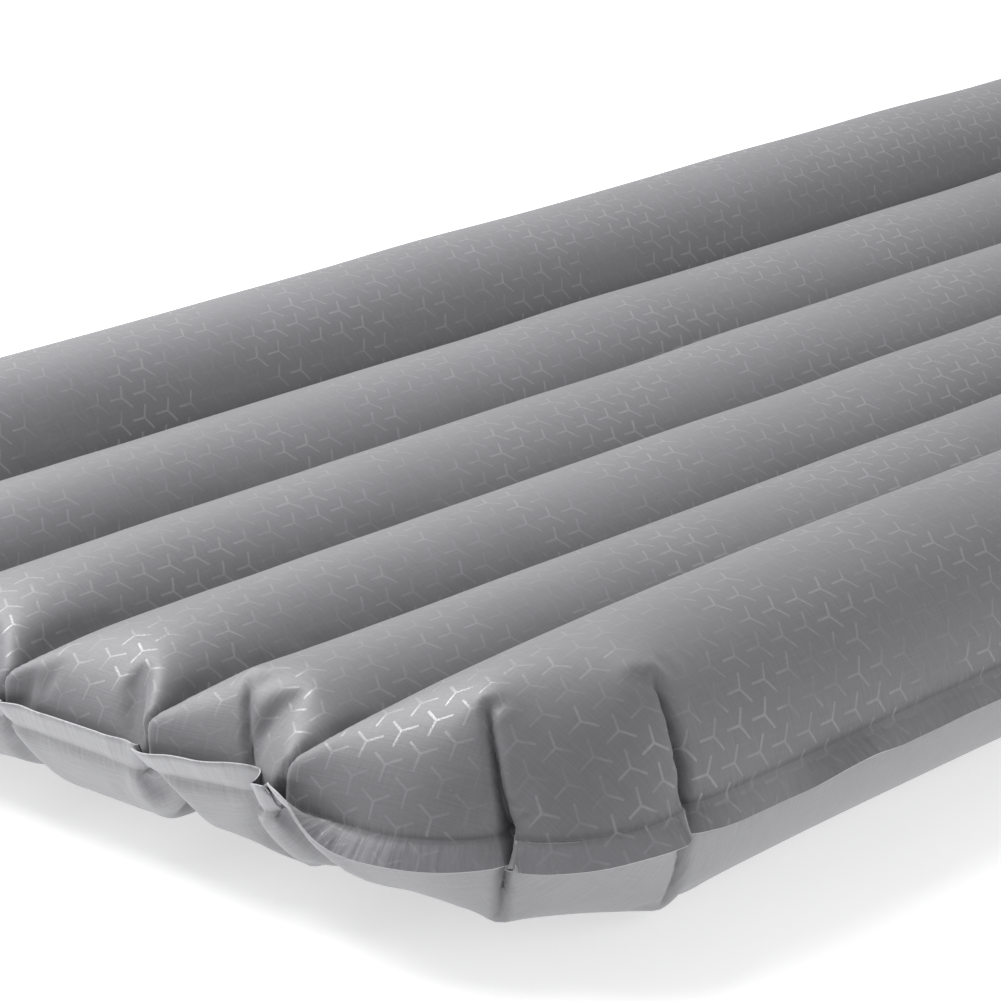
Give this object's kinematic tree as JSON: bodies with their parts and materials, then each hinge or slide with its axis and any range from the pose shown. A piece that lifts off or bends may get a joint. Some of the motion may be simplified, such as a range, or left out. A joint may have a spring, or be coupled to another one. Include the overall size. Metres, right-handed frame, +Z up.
{
  "type": "inflatable sleeping pad",
  "caption": "Inflatable camping pad with lengthwise air tubes, raised round side bolsters, a welded edge and plugged valves at the head end.",
  "frame": {"origin": "on the ground under the middle of the pad", "axes": "+X towards the head end, where the valves are; +Y across the pad; +Z up"},
  "size_m": [1.83, 0.5328, 0.0985],
  "materials": {
    "top_fabric": "satin",
    "bottom_fabric": "satin",
    "baffle_film": "satin",
    "weld_film": "satin",
    "valve_plastic": "satin",
    "cap_plastic": "matte",
    "soft_seal": "matte"
  },
  "bodies": {
    "pad": {"top_sheet": "top_fabric", "bottom_sheet": "bottom_fabric", "baffle_1": "baffle_film", "baffle_2": "baffle_film", "baffle_3": "baffle_film", "baffle_4": "baffle_film", "baffle_5": "baffle_film", "inflate_patch": "weld_film", "inflate_housing": "valve_plastic", "inflate_gasket": "soft_seal", "inflate_collar": "cap_plastic", "deflate_patch": "weld_film", "deflate_housing": "valve_plastic", "deflate_gasket": "soft_seal", "deflate_collar": "cap_plastic", "inflate_grille": "valve_plastic", "inflate_flap_clip": "valve_plastic"},
    "inflate_cap": {"inflate_cap": "cap_plastic"},
    "deflate_cap": {"deflate_cap": "cap_plastic"},
    "inflate_flap": {"inflate_flap": "soft_seal"}
  },
  "joints": [
    {"name": "inflate_cap_hinge", "type": "hinge", "parent": "pad", "child": "inflate_cap", "pos_m": [0.803, -0.04, 0.0801], "axis": [0, 1, 0], "range_deg": [0, 170]},
    {"name": "deflate_cap_hinge", "type": "hinge", "parent": "pad", "child": "deflate_cap", "pos_m": [0.803, 0.04, 0.0801], "axis": [0, 1, 0], "range_deg": [0, 170]},
    {"name": "inflate_flap_hinge", "type": "hinge", "parent": "pad", "child": "inflate_flap", "pos_m": [0.764, -0.04, 0.0653], "axis": [0, 1, 0], "range_deg": [0, 40], "stiffness_Nm_per_rad": 0.002, "springref_deg": -11.46}
  ]
}
